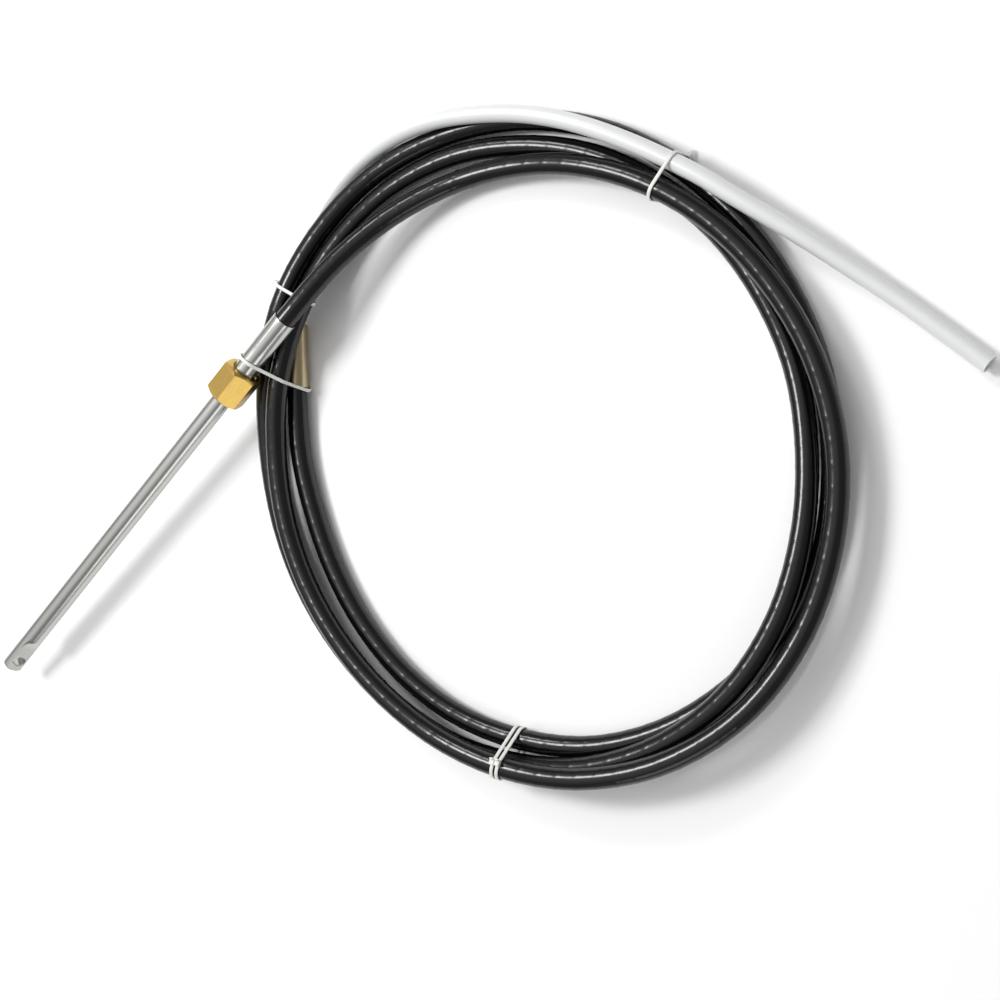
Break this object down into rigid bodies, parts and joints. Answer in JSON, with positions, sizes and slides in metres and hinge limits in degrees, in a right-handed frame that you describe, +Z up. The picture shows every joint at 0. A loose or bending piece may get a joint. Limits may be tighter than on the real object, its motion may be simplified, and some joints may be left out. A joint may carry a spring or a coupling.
{
  "type": "boat steering cable",
  "caption": "Coiled rotary steering cable for a boat: black conduit with a stainless ram and coupling nut at one end and a sleeved core at the other",
  "frame": {"origin": "middle of the underside of the whole part's bounding box, on the floor it lies on", "axes": "+X towards the free end of the protective tube, +Z up out of the coil's plane, millimetres in the source"},
  "size_m": [0.8104, 0.4896, 0.0606],
  "materials": {
    "jacket": "semi-gloss black polyethylene jacket",
    "stainless": "polished stainless steel",
    "brass": "turned brass",
    "zinc_plate": "yellow zinc plated steel",
    "sleeve": "milky white polyethylene tube",
    "core_wire": "wound steel wire, oiled",
    "nylon": "natural white nylon"
  },
  "bodies": {
    "cable": {"conduit": "jacket", "ferrule": "stainless", "guide_tube": "stainless", "helm_hub": "zinc_plate", "protective_tube": "sleeve", "core": "core_wire", "tie_upper_left": "nylon", "tie_ferrule": "nylon", "tie_upper_right": "nylon", "tie_bottom_left": "nylon", "tie_bottom_right": "nylon"},
    "ram": {"ram": "stainless"},
    "coupling_nut": {"coupling_nut": "brass"}
  },
  "joints": [
    {"name": "ram_slide", "type": "slide", "parent": "cable", "child": "ram", "axis": [-0.7211, -0.6915, -0.0436], "range_m": [0, 0.229]},
    {"name": "nut_spin", "type": "hinge", "parent": "cable", "child": "coupling_nut", "pos_m": [-0.15099, 0.0569, 0.04517], "axis": [-0.7211, -0.6915, -0.0436], "continuous": true}
  ]
}
